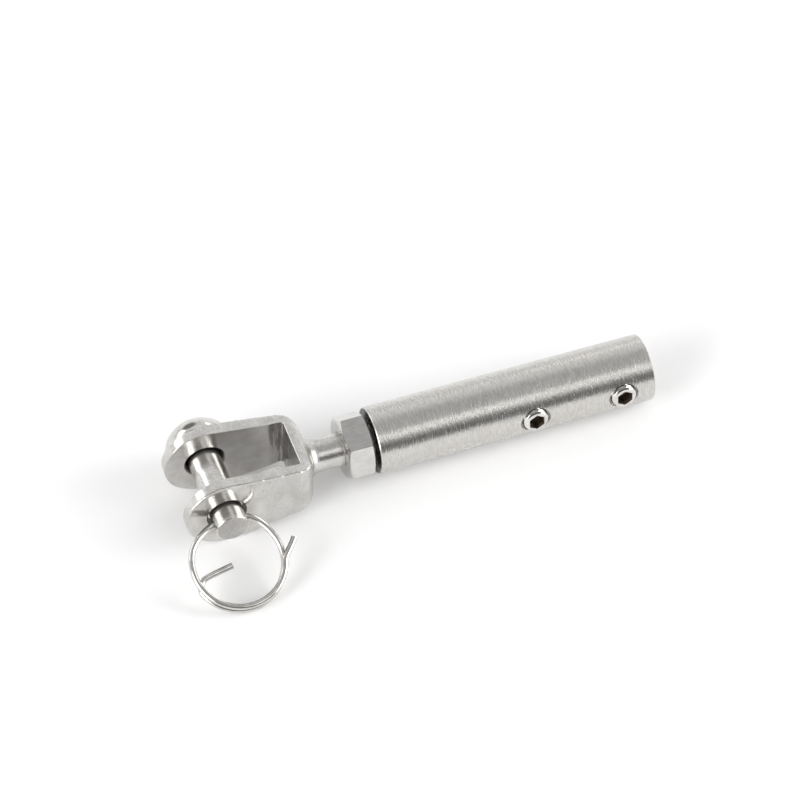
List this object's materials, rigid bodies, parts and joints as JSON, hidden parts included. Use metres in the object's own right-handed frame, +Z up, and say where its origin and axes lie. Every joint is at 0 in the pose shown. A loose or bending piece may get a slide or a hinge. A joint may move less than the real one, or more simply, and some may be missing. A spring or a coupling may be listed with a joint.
{
  "type": "rigging turnbuckle",
  "caption": "Adjustable stainless fork terminal for wire rope: a clevis jaw on a threaded stud, a lock nut and a tube that clamps the wire with side set screws.",
  "frame": {"origin": "centre of the fork slot's floor, on the stud's axis", "axes": "+X along the stud and the tube, from the jaw to the tube's open end; Y along the clevis pin, its plain end at -Y and its domed head at +Y; +Z up"},
  "size_m": [0.1195, 0.0492, 0.0194],
  "materials": {
    "fork": "polished and tumbled stainless steel",
    "lock_nut": "satin stainless steel",
    "tube_body": "stainless steel with fine turned marks",
    "set_screw": "plain stainless steel",
    "clevis_pin": "bright turned stainless steel",
    "ring_cotter": "bright drawn stainless wire"
  },
  "bodies": {
    "tube": {"tube_body": "tube_body"},
    "nut": {"lock_nut": "lock_nut"},
    "jaw": {"fork": "fork"},
    "pin": {"clevis_pin": "clevis_pin"},
    "ring": {"ring_cotter": "ring_cotter"},
    "screw_inner": {"set_screw_inner": "set_screw"},
    "screw_outer": {"set_screw_outer": "set_screw"}
  },
  "joints": [
    {"name": "stud_turn", "type": "hinge", "parent": "tube", "child": "nut", "pos_m": [0.0193, 0, 0], "axis": [-1, 0, 0], "range_deg": [0, 5760]},
    {"name": "stud_travel", "type": "slide", "parent": "nut", "child": "jaw", "axis": [-1, 0, 0], "range_m": [0, 0.02]},
    {"name": "pin_turn", "type": "hinge", "parent": "jaw", "child": "pin", "pos_m": [-0.019, 0, 0], "axis": [0, 1, 0], "continuous": true},
    {"name": "ring_swing", "type": "hinge", "parent": "pin", "child": "ring", "pos_m": [-0.019, -0.0113, 0], "axis": [1, 0, 0], "range_deg": [-25, 60]},
    {"name": "screw_inner_travel", "type": "slide", "parent": "tube", "child": "screw_inner", "axis": [0, 0.9888, -0.1495], "range_m": [-0.001, 0.002]},
    {"name": "screw_outer_travel", "type": "slide", "parent": "tube", "child": "screw_outer", "axis": [0, 0.9888, -0.1495], "range_m": [-0.001, 0.002]}
  ],
  "couplings": [
    {"joint": "stud_travel", "follows": "stud_turn", "m_per_rad": 0.00019894}
  ]
}
